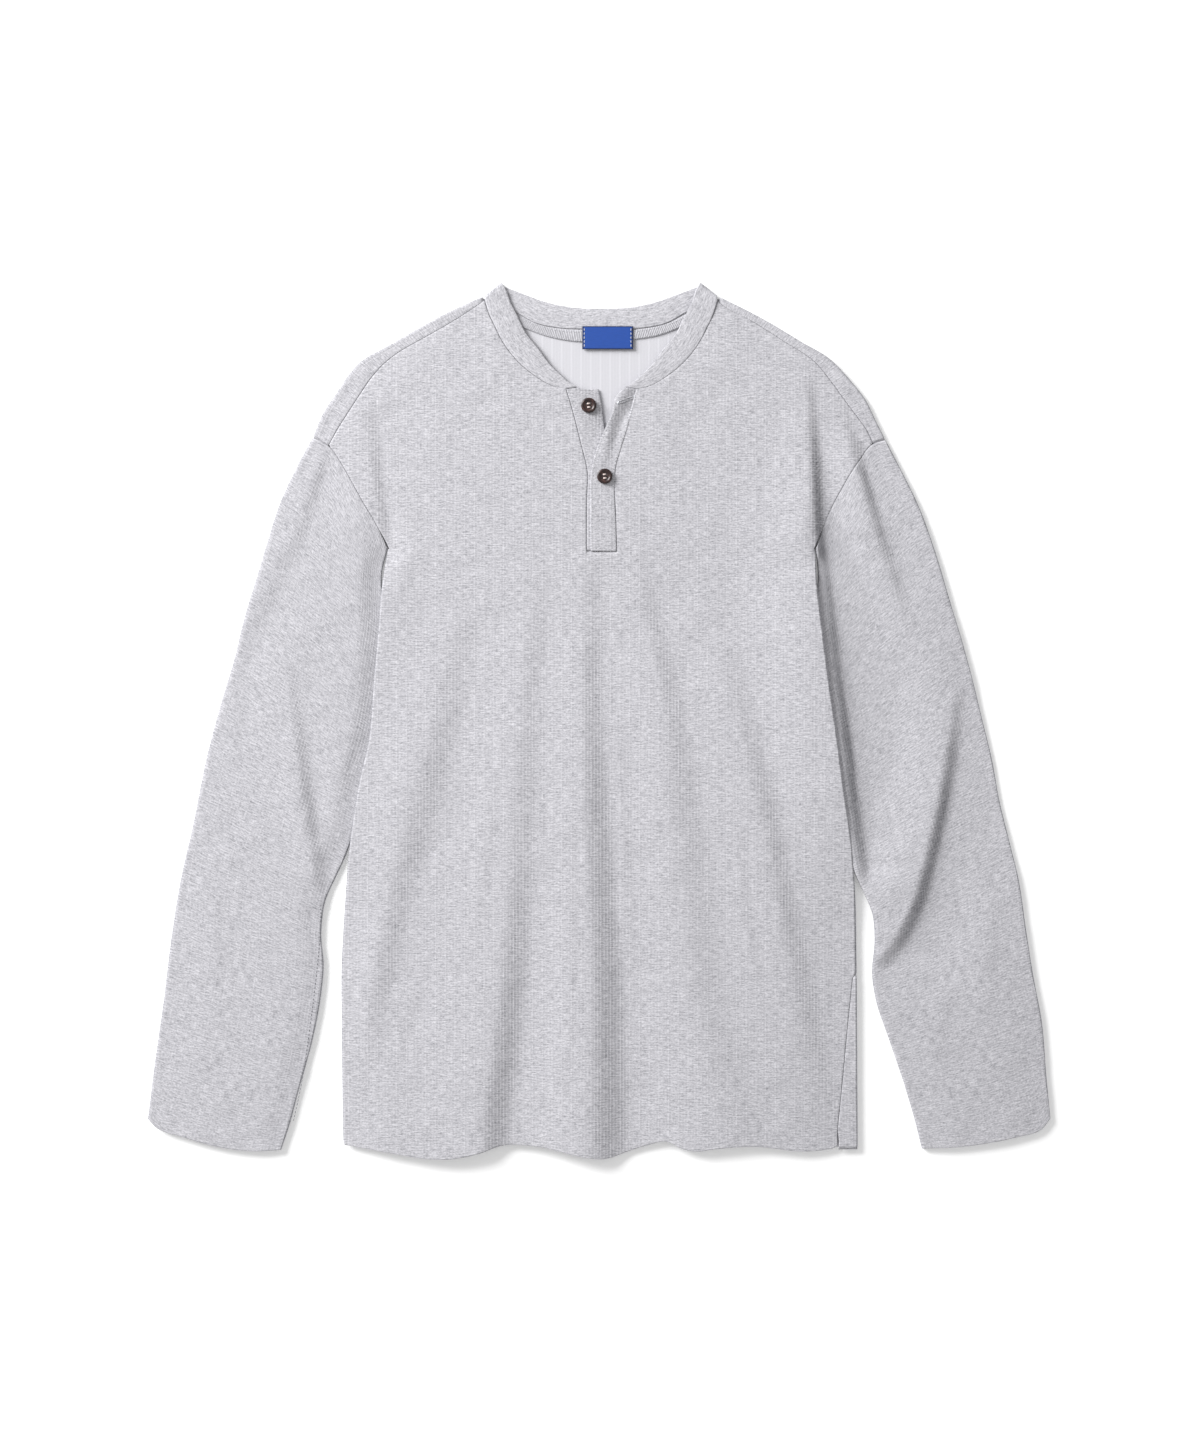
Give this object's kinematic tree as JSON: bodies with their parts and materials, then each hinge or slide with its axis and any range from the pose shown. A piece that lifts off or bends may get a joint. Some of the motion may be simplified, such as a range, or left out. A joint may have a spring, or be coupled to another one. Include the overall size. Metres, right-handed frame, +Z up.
{
  "type": "henley shirt",
  "caption": "Long-sleeved collarless shirt with a buttoned placket and rib neckband, lying flat on its back with the sleeves beside the body",
  "frame": {"origin": "centre of the bounding box at floor level, under the middle of the shirt as it lies on its back", "axes": "+X across the shirt from the wearer's right sleeve to the wearer's left sleeve, +Y from the hem to the neck, +Z up out of the cloth, away from the floor"},
  "size_m": [0.7454, 0.7219, 0.0108],
  "materials": {
    "front": "matt heather knit",
    "back": "matt heather knit",
    "sleeve_left": "matt heather knit",
    "sleeve_right": "matt heather knit",
    "neckband": "matt heather knit",
    "placket_under": "matt heather knit",
    "placket_upper": "matt heather knit",
    "button_upper": "polished, horn-like",
    "button_lower": "polished, horn-like",
    "neck_tape": "matt heather knit",
    "label": "satin weave, blank"
  },
  "bodies": {
    "root": {"front": "front", "back": "back", "sleeve_left": "sleeve_left", "sleeve_right": "sleeve_right", "neckband": "neckband", "placket_under": "placket_under", "placket_upper": "placket_upper", "button_upper": "button_upper", "button_lower": "button_lower", "neck_tape": "neck_tape", "label": "label"}
  },
  "joints": []
}
